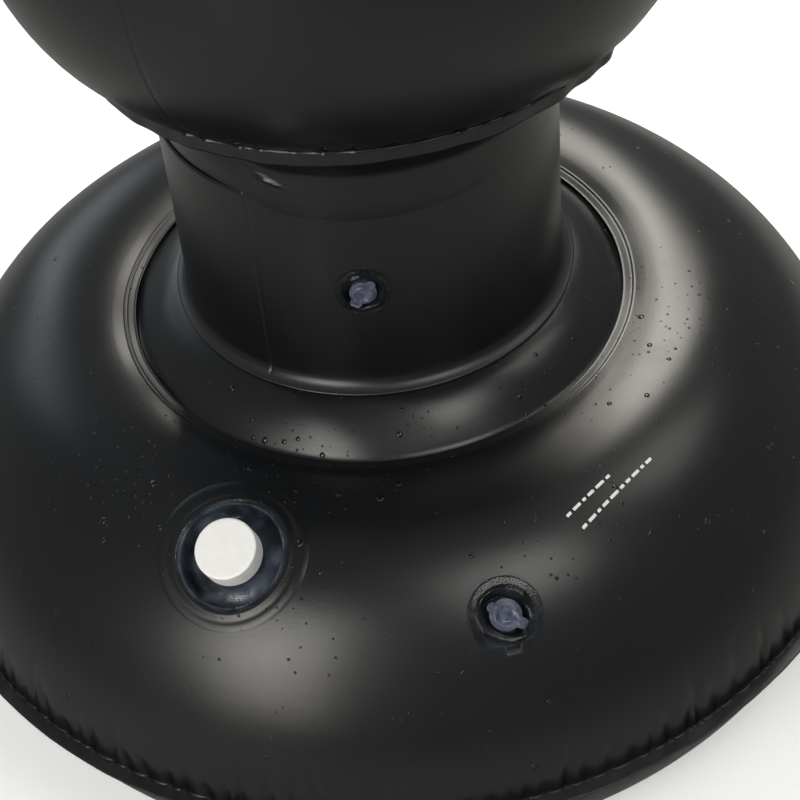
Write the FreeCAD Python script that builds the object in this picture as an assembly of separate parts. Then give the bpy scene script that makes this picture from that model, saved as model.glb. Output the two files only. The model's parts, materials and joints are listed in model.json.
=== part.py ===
"""Inflatable grappling dummy: welded sheet panels on a wide, round, water-filled base.

Millimetres. The origin is on the floor, under the column's axis. +Z is up, and the filler,
the valves and the front of the dummy face -Y. Azimuths are in degrees from +X towards +Y.
"""
import FreeCAD
import Part
import math
import os
from FreeCAD import Vector

os.makedirs("parts", exist_ok=True)

UP = Vector(0, 0, 1)
SHEET = 1.0            # thickness of every welded sheet
GAP = 0.05             # between two layers that lie on each other
SAMPLES = 16           # points taken along each curve of a sheet

# Base cushion
SEAM_RADIUS = 292.0    # where the top and bottom sheets are welded
SEAM_HEIGHT = 88.0
LIP_WIDTH = 8.0        # flat lip outside the seam
FOOTPRINT_RADIUS = 214.0
CREST_RADIUS = 176.0
CREST_HEIGHT = 221.0
RING_RADIUS = 145.0    # free edge of the ring-shaped top sheet
RING_HEIGHT = 210.0
HEM_WIDTH = 5.4        # welded hem along that edge
HEM_RISE = 3.6
WEB_PORTS = 8          # openings in the inner wall
WEB_PORT_RADIUS = 18.0
WEB_PORT_HEIGHT = 100.0

# Column
COLUMN_RADIUS = 110.0
FOOT_HEIGHT = 235.0
FOOT_HEM = 6.5
COLUMN_TOP = 364.0

# Torso and head, whose axis stands slightly off the column's
TORSO_SHIFT = Vector(4.7, 3.5, 0)
WELD_RADIUS = 149.0    # lower weld of the torso
WELD_HEIGHT = 424.5
FIN_OUT = 7.0          # how far the welded fin stands out and down
FIN_DOWN = 6.5
WAIST_RADIUS = 190.0
WAIST_HEIGHT = 540.0
CHEST_RADIUS = 203.0
CHEST_HEIGHT = 930.0
SHOULDER_RADIUS = 155.0
SHOULDER_HEIGHT = 1170.0
SHOULDER_FIN = 6.0
NECK_RADIUS = 57.0
NECK_FOOT = 1240.0
NECK_TOP = 1303.0
HEAD_RADIUS = 96.0
HEAD_WIDEST = 1450.0
CROWN_HEIGHT = 1594.0
HEAD_FIN = 6.0

# Water filler, on the front left of the cushion
FILLER_RADIUS = 215.0
FILLER_AZIMUTH = -115.9
FILLER_TILT = 25.0
WELL_RADIUS = 32.0
WELL_FLANGE = 38.0
WELL_WALL = 0.8
WELL_FLOOR = -15.0
NECK_OUTER = 13.0
NECK_BORE = 10.6
NECK_END = 4.9
THREAD_PITCH = 4.0
THREAD_HEIGHT = 1.6
THREAD_START = -4.0
CAP_RADIUS = 17.0
CAP_BOTTOM = -5.7
CAP_HEIGHT = 13.5
CAP_WALL = 1.5
CAP_BORE = 15.0

# Air valves: stem in a soft bowl, plug on a strap, check flap at the inner end
BASE_VALVE = dict(
    azimuth=-78.9, flange=22.0, bowl=15.8, stem=8.0, mouth=5.05, head=7.6,
    length=20.0, strap_root=12.2, strap_turn=49.0,
)
COLUMN_VALVE = dict(
    azimuth=-94.3, flange=15.8, bowl=11.4, stem=6.8, mouth=4.3, head=6.4,
    length=17.0, strap_root=9.9, strap_turn=-33.0,
)
BASE_VALVE_RADIUS = 243.0
COLUMN_VALVE_HEIGHT = 305.0


def curve(*poles):
    """Bezier curve in the XZ half-plane through the given (radius, height) poles."""
    bezier = Part.BezierCurve()
    bezier.setPoles([Vector(radius, 0, height) for radius, height in poles])
    return bezier


def offset_edges(path, distance):
    """Edges that run the given distance to the left of a chain of smooth-joined curves."""
    edges = []
    for piece in path:
        if piece.NbPoles == 2:
            along = (piece.value(1) - piece.value(0)).normalize()
            left = Vector(-along.z, 0, along.x) * distance
            edges.append(Part.makeLine(piece.value(0) + left, piece.value(1) + left))
            continue
        if distance == 0:
            edges.append(piece.toShape())
            continue
        points = []
        for step in range(SAMPLES + 1):
            tangent = piece.tangent(step / SAMPLES)[0]
            left = Vector(-tangent.z, 0, tangent.x)
            points.append(piece.value(step / SAMPLES) + left * distance)
        line = Part.BSplineCurve()
        line.interpolate(Points=points, InitialTangent=piece.tangent(0)[0],
                         FinalTangent=piece.tangent(1)[0], Scale=True)
        edges.append(line.toShape())
    return edges


def ends(edges):
    """First and last point of a chain of edges."""
    return edges[0].firstVertex().Point, edges[-1].lastVertex().Point


def sheet_face(path, near=0.0, far=SHEET):
    """Face between two offsets of a path. The inside of the dummy is on the path's left."""
    outer = offset_edges(path, near)
    inner = offset_edges(path, far)
    outer_start, outer_end = ends(outer)
    inner_start, inner_end = ends(inner)
    closing = [Part.makeLine(outer_end, inner_end), Part.makeLine(inner_start, outer_start)]
    return Part.Face(Part.Wire(Part.__sortEdges__(outer + inner + closing)))


def turned(face, angle=360.0):
    """Solid swept by a face in the XZ half-plane about the vertical axis."""
    return face.revolve(Vector(0, 0, 0), UP, angle)


def polygon(*corners):
    """Face in the XZ half-plane with straight sides."""
    return Part.Face(Part.makePolygon([Vector(r, 0, z) for r, z in corners + corners[:1]]))


def ring(inner, outer, bottom, top):
    return turned(polygon((inner, bottom), (outer, bottom), (outer, top), (inner, top)))


def fuse(first, *others):
    return first.fuse(list(others)).removeSplitter()


def save(name, *solids):
    shape = solids[0] if len(solids) == 1 else Part.makeCompound(list(solids))
    if len(shape.Solids) != len(solids) or not shape.isValid() or shape.Volume <= 0:
        raise RuntimeError(name + " is not a sound solid")
    shape.exportStep("parts/" + name + ".step")


def fitting_frame(point, azimuth, tilt, turn=0.0):
    """Placement with +Z along the outward normal and +X pointing downhill, then turned."""
    across = math.radians(azimuth)
    lean = math.radians(tilt)
    spin = math.radians(turn)
    out = Vector(math.cos(across), math.sin(across), 0)
    normal = out * math.sin(lean) + UP * math.cos(lean)
    downhill = out * math.cos(lean) - UP * math.sin(lean)
    side = normal.cross(downhill)
    x = downhill * math.cos(spin) + side * math.sin(spin)
    y = normal.cross(x)
    return FreeCAD.Placement(FreeCAD.Matrix(
        x.x, y.x, normal.x, point.x,
        x.y, y.y, normal.y, point.y,
        x.z, y.z, normal.z, point.z,
    ))


def placed(shape, frame):
    moved = shape.copy()
    moved.Placement = frame.multiply(moved.Placement)
    return moved


def point_at_radius(piece, radius):
    """Point and outward tilt of a curve whose radius falls from its start to its end."""
    low, high = 0.0, 1.0
    while high - low > 1e-9:
        middle = (low + high) / 2
        if piece.value(middle).x > radius:
            low = middle
        else:
            high = middle
    tangent = piece.tangent(low)[0]
    return piece.value(low), math.degrees(math.atan2(tangent.z, -tangent.x))


def around_axis(point, azimuth):
    across = math.radians(azimuth)
    return Vector(point.x * math.cos(across), point.x * math.sin(across), point.z)


# ---- Outlines of the soft panels, each with the inside on its left ----

def cushion_side():
    """Top sheet from the seam up to the crest."""
    return curve(
        (SEAM_RADIUS, SEAM_HEIGHT + SHEET),
        (SEAM_RADIUS, SEAM_HEIGHT + 66),
        (CREST_RADIUS + 40, CREST_HEIGHT),
        (CREST_RADIUS, CREST_HEIGHT),
    )


def cushion_top():
    """Top sheet from the seam over the crest and down to the ring's free edge."""
    hem_start = (RING_RADIUS + HEM_WIDTH, RING_HEIGHT + HEM_RISE)
    return [
        cushion_side(),
        curve((CREST_RADIUS, CREST_HEIGHT), (CREST_RADIUS - 9, CREST_HEIGHT),
              (hem_start[0] + 8, hem_start[1] + HEM_RISE * 8 / HEM_WIDTH), hem_start),
        curve(hem_start, (RING_RADIUS, RING_HEIGHT)),
    ]


def cushion_bottom():
    return [
        curve((0, 0), (FOOTPRINT_RADIUS, 0)),
        curve((FOOTPRINT_RADIUS, 0), (262, 0), (SEAM_RADIUS, 42),
              (SEAM_RADIUS, SEAM_HEIGHT - SHEET)),
    ]


def disc_outline():
    """Dome that rises from under the ring to the column's foot and closes the base."""
    return [
        curve((149.5, 207), (147, 207), (144.5, 208.5), (141, 212)),
        curve((141, 212), (131, 222), (122, 231), (111, FOOT_HEIGHT)),
        curve((111, FOOT_HEIGHT), (83.5, 245), (40, 252), (0, 252)),
    ]


def column_outline():
    return [
        curve((COLUMN_RADIUS + FOOT_HEM, FOOT_HEIGHT + 0.4),
              (COLUMN_RADIUS + 2.5, FOOT_HEIGHT + 1.8),
              (COLUMN_RADIUS, FOOT_HEIGHT + 4.5), (COLUMN_RADIUS, FOOT_HEIGHT + 9)),
        curve((COLUMN_RADIUS, FOOT_HEIGHT + 9), (COLUMN_RADIUS, COLUMN_TOP)),
    ]


def torso_bottom_outline():
    return [curve((COLUMN_RADIUS + 8, COLUMN_TOP + 2), (COLUMN_RADIUS + 18, COLUMN_TOP + 10),
                  (COLUMN_RADIUS + 32, COLUMN_TOP + 32), (WELD_RADIUS - 1.1, WELD_HEIGHT))]


def torso_side_outline():
    return [
        curve((WELD_RADIUS, WELD_HEIGHT + 0.5), (WELD_RADIUS + 26, WELD_HEIGHT + 21),
              (WAIST_RADIUS, WAIST_HEIGHT - 60), (WAIST_RADIUS, WAIST_HEIGHT)),
        curve((WAIST_RADIUS, WAIST_HEIGHT), (WAIST_RADIUS, WAIST_HEIGHT + 120),
              (CHEST_RADIUS, CHEST_HEIGHT - 110), (CHEST_RADIUS, CHEST_HEIGHT)),
        curve((CHEST_RADIUS, CHEST_HEIGHT), (CHEST_RADIUS, CHEST_HEIGHT + 120),
              (SHOULDER_RADIUS + 35, SHOULDER_HEIGHT - 45), (SHOULDER_RADIUS, SHOULDER_HEIGHT)),
    ]


def shoulder_outline():
    return [curve((SHOULDER_RADIUS - 1.6, SHOULDER_HEIGHT + 0.4),
                  (SHOULDER_RADIUS - 30, SHOULDER_HEIGHT + 32),
                  (NECK_RADIUS + 38, NECK_FOOT - 9), (NECK_RADIUS + 7, NECK_FOOT - 4))]


def neck_outline():
    return [
        curve((NECK_RADIUS + 6, NECK_FOOT - 1), (NECK_RADIUS + 1, NECK_FOOT + 3),
              (NECK_RADIUS, NECK_FOOT + 10), (NECK_RADIUS, NECK_FOOT + 24)),
        curve((NECK_RADIUS, NECK_FOOT + 24), (NECK_RADIUS, NECK_TOP)),
    ]


def head_outline():
    return [
        curve((NECK_RADIUS, NECK_TOP + 1), (NECK_RADIUS + 6, NECK_TOP + 22),
              (HEAD_RADIUS, HEAD_WIDEST - 80), (HEAD_RADIUS, HEAD_WIDEST)),
        curve((HEAD_RADIUS, HEAD_WIDEST), (HEAD_RADIUS, HEAD_WIDEST + 85),
              (HEAD_RADIUS - 42, CROWN_HEIGHT), (0, CROWN_HEIGHT)),
    ]


# ---- Base ----

def drilled(shape, frame, radius):
    """Shape with a round hole along the +Z axis of a fitting's frame."""
    return shape.cut(placed(Part.makeCylinder(radius, 60, Vector(0, 0, -30)), frame))


def base_bottom_skin():
    wall = turned(sheet_face(cushion_bottom()))
    lip = ring(SEAM_RADIUS - SHEET, SEAM_RADIUS + LIP_WIDTH,
               SEAM_HEIGHT - SHEET - GAP, SEAM_HEIGHT - GAP)
    return fuse(wall, lip)


def base_top_skin(filler, valve):
    wall = turned(sheet_face(cushion_top()))
    lip = ring(SEAM_RADIUS - SHEET, SEAM_RADIUS + LIP_WIDTH, SEAM_HEIGHT, SEAM_HEIGHT + SHEET)
    skin = fuse(wall, lip)
    skin = drilled(skin, filler, WELL_RADIUS + 0.4)
    return drilled(skin, valve, BASE_VALVE["bowl"] + 0.4)


def base_top_disc():
    return turned(sheet_face(disc_outline()))


def base_tie_web():
    """Round inner wall from the bottom sheet to the ring, with openings for water and air."""
    low = SHEET + GAP
    wall = ring(RING_RADIUS, RING_RADIUS + SHEET, low, RING_HEIGHT - 5)
    hem = ring(RING_RADIUS, RING_RADIUS + 9, low, low + SHEET)
    web = fuse(wall, hem)
    for port in range(WEB_PORTS):
        azimuth = math.radians(360 / WEB_PORTS * port)
        reach = Vector(math.cos(azimuth), math.sin(azimuth), 0)
        start = reach * (RING_RADIUS - 20) + UP * WEB_PORT_HEIGHT
        web = web.cut(Part.makeCylinder(WEB_PORT_RADIUS, 40, start, reach))
    return web


# ---- Water filler, in a frame whose +Z leaves the cushion ----

def under_top_sheet(depth):
    """Solid that fills the cushion up to the given depth below the top sheet's outside."""
    top = offset_edges(cushion_top(), depth)
    start, end = ends(top)
    inner_foot = Vector(end.x, 0, 0)
    outer_foot = Vector(start.x, 0, 0)
    edges = top + [
        Part.makeLine(end, inner_foot),
        Part.makeLine(inner_foot, outer_foot),
        Part.makeLine(outer_foot, start),
    ]
    return turned(Part.Face(Part.Wire(edges)))


def filler_well(frame):
    bowl = turned(sheet_face([
        curve((NECK_OUTER + GAP, WELL_FLOOR), (19, WELL_FLOOR)),
        curve((19, WELL_FLOOR), (27, WELL_FLOOR), (WELL_RADIUS, WELL_FLOOR + 6),
              (WELL_RADIUS, WELL_FLOOR + 13)),
        curve((WELL_RADIUS, WELL_FLOOR + 13), (WELL_RADIUS, 14)),
    ], far=WELL_WALL))
    bowl = placed(bowl, frame).common(under_top_sheet(0.2))
    under = turned(sheet_face(cushion_top()[:2], SHEET + GAP, SHEET + GAP + WELL_WALL))
    collar = placed(ring(WELL_RADIUS - WELL_WALL / 2, WELL_FLANGE, -30, 30), frame)
    return fuse(bowl, under.common(collar))


def helical_ridge(root, crest, bottom, turns):
    """Trapezoidal thread ridge. A crest radius below the root makes an inner thread."""
    helix = Part.makeHelix(THREAD_PITCH, THREAD_PITCH * turns, root)
    profile = Part.makePolygon([
        Vector(root, 0, -0.8), Vector(crest, 0, -0.4), Vector(crest, 0, 0.4),
        Vector(root, 0, 0.8), Vector(root, 0, -0.8),
    ])
    ridge = Part.Wire(helix.Edges).makePipeShell([profile], True, True)
    ridge.translate(Vector(0, 0, bottom))
    return ridge


def filler_neck():
    tube = ring(NECK_BORE, NECK_OUTER, WELL_FLOOR - 1.05, NECK_END)
    flange = ring(NECK_BORE, 17.5, WELL_FLOOR - 1.05, WELL_FLOOR - GAP)
    low_collar = ring(NECK_BORE, 15.2, -10.2, -9.2)
    high_collar = ring(NECK_BORE, 15.8, -7.7, -6.7)
    ridge = helical_ridge(NECK_OUTER - 0.2, NECK_OUTER + THREAD_HEIGHT, THREAD_START, 1.6)
    return fuse(tube, flange, low_collar, high_collar, ridge)


def filler_cap():
    top = CAP_BOTTOM + CAP_HEIGHT
    cup = ring(CAP_BORE, CAP_RADIUS, CAP_BOTTOM, top)
    lid = Part.makeCylinder(CAP_RADIUS, CAP_WALL, Vector(0, 0, top - CAP_WALL))
    cap = fuse(cup, lid)
    rim = [e for e in cap.Edges if e.BoundBox.ZMin > top - 0.1 and e.Length > 6 * CAP_RADIUS]
    cap = cap.makeFillet(CAP_WALL - 0.3, rim)
    start = THREAD_START + THREAD_PITCH / 2
    return fuse(cap, helical_ridge(CAP_BORE + 0.2, CAP_BORE - THREAD_HEIGHT, start, 1.5))


def cap_liner():
    top = CAP_BOTTOM + CAP_HEIGHT - CAP_WALL - GAP
    return Part.makeCylinder(CAP_BORE - 0.4, 1.1, Vector(0, 0, top - 1.1))


# ---- Air valves, in a frame whose +Z leaves the sheet they are welded on ----

def valve_flange(size, frame, outline):
    """Soft disc on the sheet, with a bowl that leads down to the stem."""
    cover = turned(sheet_face(outline, -GAP - 0.8, -GAP))
    disc = cover.common(placed(Part.makeCylinder(size["flange"], 40, Vector(0, 0, -20)), frame))
    disc = drilled(disc, frame, size["bowl"] - 0.4)
    stem_hole = size["stem"] + 0.1
    bowl = turned(sheet_face([
        curve((stem_hole, -6.8), (size["bowl"] - 3, -6.8), (size["bowl"], -4.5),
              (size["bowl"], 0.7)),
    ], far=0.8))
    return fuse(disc, placed(bowl, frame))


def valve_stem(size):
    """Tube with a stop bead inside, and a collar outside whose lug holds the plug's strap."""
    low = -size["length"]
    tube = ring(size["mouth"], size["stem"], low, 1.4)
    bead = ring(size["mouth"], size["stem"] + 1.3, low, low + 1.5)
    collar = ring(size["mouth"], size["stem"] + 1.0, 0, 1.4)
    lug = Part.makeBox(size["strap_root"] - size["mouth"] - 2, 6, 1.4,
                       Vector(size["mouth"] + 2, -3, 0))
    throat = Part.makeCone(size["mouth"], size["mouth"] + 0.5, 0.7, Vector(0, 0, 0.7))
    return fuse(tube, bead, collar, lug).cut(throat)


def valve_plug(size):
    """Plug with a tapered nose, a pull tab and the strap that it hangs on."""
    nose = Part.makeCone(size["mouth"] - 1.1, size["mouth"] - 0.1, 5.1, Vector(0, 0, -3.6))
    head = ring(0, size["head"], 1.5, 2.7)
    dimple = Part.makeCylinder(size["mouth"] - 1.2, 3, Vector(0, 0, 0.9))
    strap = Part.makeBox(size["strap_root"], 5, 1.0, Vector(0, -2.5, 1.5))
    tab = Part.makeCylinder(2.6, 1.0, Vector(-size["head"] - 1.2, 0, 1.5))
    return fuse(nose, head, strap, tab).cut(dimple)


def valve_flap(size):
    """Check flap under the stem's inner end, hinged opposite the strap."""
    top = -size["length"] - GAP
    disc = Part.makeCylinder(size["mouth"] + 1.5, 0.7, Vector(0, 0, top - 0.7))
    lug = Part.makeBox(size["mouth"] + 2.6, 5, 0.7,
                       Vector(-size["mouth"] - 2.6, -2.5, top - 0.7))
    return fuse(disc, lug)


def save_valve(prefix, size, frame, outline):
    save(prefix + "_valve_flange", valve_flange(size, frame, outline))
    save(prefix + "_valve_stem", placed(valve_stem(size), frame))
    save(prefix + "_valve_plug", placed(valve_plug(size), frame))
    save(prefix + "_valve_flap", placed(valve_flap(size), frame))


# ---- Column, torso and head ----

def column_skin(valve):
    return drilled(turned(sheet_face(column_outline())), valve, COLUMN_VALVE["bowl"] + 0.4)


def fin(root, tip, side):
    """Half of a welded fin: one layer on the given side of the line from root to tip."""
    along = Vector(tip[0] - root[0], 0, tip[1] - root[1]).normalize()
    across = Vector(-along.z, 0, along.x) * side
    corners = []
    for point, depth in ((root, GAP), (tip, GAP), (tip, SHEET), (root, SHEET)):
        corners.append((point[0] + across.x * depth, point[1] + across.z * depth))
    return turned(polygon(*corners))


def torso_bottom_panel():
    root = (WELD_RADIUS - 0.7, WELD_HEIGHT + 0.65)
    tip = (WELD_RADIUS + FIN_OUT, WELD_HEIGHT - FIN_DOWN)
    return fuse(turned(sheet_face(torso_bottom_outline())), fin(root, tip, -1))


def torso_side_skin():
    low_root = (WELD_RADIUS - 0.7, WELD_HEIGHT + 0.65)
    low_tip = (WELD_RADIUS + FIN_OUT, WELD_HEIGHT - FIN_DOWN)
    high_root = (SHOULDER_RADIUS - 1.2, SHOULDER_HEIGHT - 0.2)
    high_tip = (SHOULDER_RADIUS + SHOULDER_FIN, SHOULDER_HEIGHT + SHOULDER_FIN)
    return fuse(turned(sheet_face(torso_side_outline())), fin(low_root, low_tip, 1),
                fin(high_root, high_tip, -1))


def shoulder_panel():
    root = (SHOULDER_RADIUS - 1.9, SHOULDER_HEIGHT - 0.9)
    tip = (SHOULDER_RADIUS + SHOULDER_FIN, SHOULDER_HEIGHT + SHOULDER_FIN)
    return fuse(turned(sheet_face(shoulder_outline())), fin(root, tip, 1))


def head_panel(side):
    """Front (-1) or back (+1) half of the head, with a flat fin along its edge."""
    shell = turned(sheet_face(head_outline()), 180 * side)
    shell.translate(Vector(0, side * GAP, 0))
    edge = sheet_face(head_outline(), -HEAD_FIN, SHEET / 2)
    right = edge.extrude(Vector(0, side * SHEET, 0))
    right.translate(Vector(0, side * GAP, 0))
    left = right.mirror(Vector(0, 0, 0), Vector(1, 0, 0))
    return fuse(shell, right, left)


def main():
    filler_point, _ = point_at_radius(cushion_side(), FILLER_RADIUS)
    filler = fitting_frame(around_axis(filler_point, FILLER_AZIMUTH), FILLER_AZIMUTH, FILLER_TILT)
    valve_point, valve_tilt = point_at_radius(cushion_side(), BASE_VALVE_RADIUS)
    base_valve = fitting_frame(around_axis(valve_point, BASE_VALVE["azimuth"]),
                               BASE_VALVE["azimuth"], valve_tilt, BASE_VALVE["strap_turn"])
    column_point = around_axis(Vector(COLUMN_RADIUS, 0, COLUMN_VALVE_HEIGHT),
                               COLUMN_VALVE["azimuth"])
    column_valve = fitting_frame(column_point, COLUMN_VALVE["azimuth"], 90,
                                 COLUMN_VALVE["strap_turn"])

    save("base_bottom_skin", base_bottom_skin())
    save("base_top_skin", base_top_skin(filler, base_valve))
    save("base_top_disc", base_top_disc())
    save("base_tie_web", base_tie_web())
    save("filler_well", filler_well(filler))
    save("filler_neck", placed(filler_neck(), filler))
    save("filler_cap", placed(filler_cap(), filler))
    save("cap_liner", placed(cap_liner(), filler))
    save_valve("base", BASE_VALVE, base_valve, cushion_top()[:2])
    save("column_skin", column_skin(column_valve))
    save_valve("column", COLUMN_VALVE, column_valve, column_outline()[1:])

    upper_body = {
        "torso_bottom_panel": torso_bottom_panel(),
        "torso_side_skin": torso_side_skin(),
        "shoulder_panel": shoulder_panel(),
        "neck_skin": turned(sheet_face(neck_outline())),
        "head_front_panel": head_panel(-1),
        "head_back_panel": head_panel(1),
    }
    for name, shape in upper_body.items():
        shape.translate(TORSO_SHIFT)
        save(name, shape)


main()
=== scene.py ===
"""Looks of the inflatable grappling dummy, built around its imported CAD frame.

Everything is in metres in the CAD's own frame: the origin is on the floor under the column,
+Z is up and the filler and valves face -Y. Outlines are given in millimetres as
(radius, height), with the inside of the dummy on their left, and azimuths in degrees.
"""
import itertools
import json
import math
import bmesh
import bpy
import numpy as np
from mathutils import Matrix, Vector


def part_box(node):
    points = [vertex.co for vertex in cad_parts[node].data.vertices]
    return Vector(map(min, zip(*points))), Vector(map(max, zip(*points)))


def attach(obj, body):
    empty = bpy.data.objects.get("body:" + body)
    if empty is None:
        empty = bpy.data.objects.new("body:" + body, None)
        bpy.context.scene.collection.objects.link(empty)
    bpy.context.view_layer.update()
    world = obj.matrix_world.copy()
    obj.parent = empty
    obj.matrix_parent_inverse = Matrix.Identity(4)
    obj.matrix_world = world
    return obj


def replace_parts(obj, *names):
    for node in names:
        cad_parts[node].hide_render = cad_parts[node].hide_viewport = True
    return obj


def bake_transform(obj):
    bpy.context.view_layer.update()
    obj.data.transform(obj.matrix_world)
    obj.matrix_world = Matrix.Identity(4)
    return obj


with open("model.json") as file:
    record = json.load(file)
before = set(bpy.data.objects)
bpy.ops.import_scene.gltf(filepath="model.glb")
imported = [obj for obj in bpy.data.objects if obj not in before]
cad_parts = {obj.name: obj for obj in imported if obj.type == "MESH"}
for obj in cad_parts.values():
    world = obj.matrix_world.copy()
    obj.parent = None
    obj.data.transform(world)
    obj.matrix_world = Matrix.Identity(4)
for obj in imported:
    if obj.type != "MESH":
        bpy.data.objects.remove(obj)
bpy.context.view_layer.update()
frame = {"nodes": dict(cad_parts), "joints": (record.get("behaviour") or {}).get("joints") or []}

MM = 0.001
SHEET = 0.8                  # thickness of a vinyl sheet
REACH = 30.0                 # how far from a fitting its sheet is looked for, along its axis
ROUND = 2 * math.pi

# The dummy's own dimensions, in millimetres. They are those of the CAD sheets, except that
# the crest lies lower and the torso's fin hangs down.
LIP_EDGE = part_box("base_top_skin")[1].x / MM
LIP = 8.0                    # width of the welded lip round the cushion
SEAM_RADIUS = LIP_EDGE - LIP
SEAM_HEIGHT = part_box("base_top_skin")[0].z / MM
CREST = (167.0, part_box("base_top_skin")[1].z / MM - 4.8)
RING_RADIUS = 145.0
RING_HEIGHT = 210.0
HEM_WIDTH = 5.4
HEM_RISE = 3.6
COLUMN_RADIUS = 110.0
FOOT_HEIGHT = 235.0
COLUMN_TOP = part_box("column_skin")[1].z / MM
TORSO_CENTRE = (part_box("torso_side_skin")[0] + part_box("torso_side_skin")[1]) / 2 / MM
WELD_RADIUS = 149.0
WELD_HEIGHT = 424.5
FIN = (-2.0, -9.0)           # how far the torso's lower fin stands out and hangs down
FIN_LENGTH = math.hypot(*FIN)
WAIST = (190.0, 540.0)
CHEST = (203.0, 930.0)
SHOULDER = (155.0, 1170.0)
SHOULDER_FIN = 6.0           # how far the shoulder's fin stands out, and up
SHOULDER_FIN_LENGTH = SHOULDER_FIN * math.sqrt(2)
NECK_RADIUS = 57.0
NECK_FOOT = 1240.0
NECK_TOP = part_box("neck_skin")[1].z / MM
HEAD_RADIUS = 96.0
HEAD_WIDEST = 1450.0
HEAD_FIN = 6.0
CROWN_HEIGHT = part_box("head_front_panel")[1].z / MM - HEAD_FIN


# ---------------------------------------------------------------- outlines

def curve(*poles, steps=96):
    """Points along the Bezier curve through the given poles."""
    poles = np.array(poles, float)
    t = np.linspace(0, 1, steps + 1)[:, None]
    order = len(poles) - 1
    return sum(math.comb(order, k) * t**k * (1 - t)**(order - k) * pole
               for k, pole in enumerate(poles))


def chain(*pieces):
    """One polyline from pieces that follow on from each other."""
    points = np.concatenate([np.atleast_2d(np.array(piece, float)) for piece in pieces])
    step = np.hypot(*np.diff(points, axis=0).T)
    return points[np.concatenate([[True], step > 1e-6])]


def corner(before, point, after, radius, steps=10):
    """A rounded corner of a polyline."""
    before, point, after = (np.array(p, float) for p in (before, point, after))
    start = point + (before - point) / np.hypot(*(before - point)) * radius
    end = point + (after - point) / np.hypot(*(after - point)) * radius
    return curve(start, point, end, steps=steps)


def lengths(points):
    return np.concatenate([[0], np.cumsum(np.hypot(*np.diff(points, axis=0).T))])


def stations(total, *zones):
    """Distances along an outline. Each zone is (from, to, spacing); the rest is 6 mm apart."""
    marks = set()
    cursor = 0.0
    for low, high, spacing in sorted(zones) + [(total, total, 1)]:
        low, high = max(cursor, min(low, total)), min(high, total)
        if low > cursor:
            marks.update(np.linspace(cursor, low, max(2, round((low - cursor) / 6) + 1)))
        if high > low:
            marks.update(np.linspace(low, high, max(2, round((high - low) / spacing) + 1)))
        cursor = max(cursor, high)
    marks = np.array(sorted(marks))
    return marks[np.concatenate([[True], np.diff(marks) > 1e-4])]


def along(points, distances):
    """Position and outward normal of an outline at the given distances."""
    total = lengths(points)
    behind, place, ahead = (
        np.stack([np.interp(distances + step, total, points[:, k]) for k in (0, 1)], 1)
        for step in (-0.4, 0.0, 0.4))
    tangent = ahead - behind
    tangent /= np.maximum(np.hypot(*tangent.T), 1e-9)[:, None]
    return place, np.stack([tangent[:, 1], -tangent[:, 0]], 1)


# ---------------------------------------------------------------- relief of the soft sheets

def smooth(x):
    x = np.clip(x, 0, 1)
    return x * x * (3 - 2 * x)


def wrap(angle):
    return (angle + math.pi) % ROUND - math.pi


def bump_at(azimuth, centre, width):
    """1 at an azimuth, falling to 0 a width away on both sides. Centre and width in degrees."""
    return smooth(1 - np.abs(np.degrees(wrap(azimuth - math.radians(centre)))) / width)


def swell(azimuth, distance, seed, waves=14, around=9, length=160.0):
    """Slow uneven swelling of a sheet, between about -1 and 1."""
    rng = np.random.RandomState(seed)
    total = np.zeros_like(azimuth)
    for _ in range(waves):
        turns = rng.randint(1, around)
        total += rng.uniform(0.4, 1) * np.sin(
            turns * azimuth + rng.uniform(-1, 1) * distance * ROUND / length + rng.uniform(0, ROUND))
    return total / math.sqrt(waves)


def near(distance, width):
    """1 up to a width from an edge, with a soft step there."""
    return smooth((width + 1 - distance) / 2)


class Weld:
    """The puckers along a round weld: sharp valleys that start at it and fade over the sheet."""

    def __init__(self, seed, radius, pitch, depth, reach):
        rng = np.random.RandomState(seed)
        count = round(ROUND * radius / pitch)
        self.pitch = ROUND / count
        self.radius = radius
        self.places = (np.arange(count) + rng.uniform(-0.3, 0.3, count)) * self.pitch % ROUND
        self.depths = depth * rng.uniform(0.35, 1.0, count)
        self.reaches = reach * rng.uniform(0.4, 1.3, count)
        self.leans = rng.uniform(-0.22, 0.22, count) / radius
        self.sides = rng.choice([-1.0, 1.0], count) * rng.uniform(0.3, 1.0, count)

    def valleys(self, azimuth, distance):
        """Depth of the cusps between the sheet's rounded bulges."""
        turned = azimuth % ROUND
        total = np.zeros_like(azimuth)
        for k, place in enumerate(self.places):
            gap = (self.places[(k + 1) % len(self.places)] - place) % ROUND
            before = (place - self.places[k - 1]) % ROUND
            away = wrap(turned - place - self.leans[k] * distance)
            span = np.where(away > 0, gap, before) * 0.5
            far = np.clip(distance / self.reaches[k], 0, 1)
            soft = 0.04 + 0.3 * far
            share = np.sqrt((away / span) ** 2 + soft ** 2) - soft
            total += self.depths[k] * (1 - smooth(far)) * np.maximum(1 - share, 0) ** 2.2
        return total

    def puckers(self, azimuth, from_edge, lip):
        """Valleys of a sheet that has a flat lip between its free edge and the weld."""
        return self.valleys(azimuth, np.maximum(from_edge - lip, 0)) * (from_edge > lip - 1)

    def flutter(self, azimuth):
        """How far the free edge of the weld waves from side to side, about -1 to 1."""
        total = np.zeros_like(azimuth)
        for side, place in zip(self.sides, self.places):
            total += side * np.exp(-(wrap(azimuth - place) / (self.pitch * 0.45)) ** 2)
        return total

    def waves(self, azimuth, from_edge, lip):
        """The flutter, fading from the free edge to the weld."""
        return self.flutter(azimuth) * smooth(1 - from_edge / lip)


# ---------------------------------------------------------------- meshes

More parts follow.
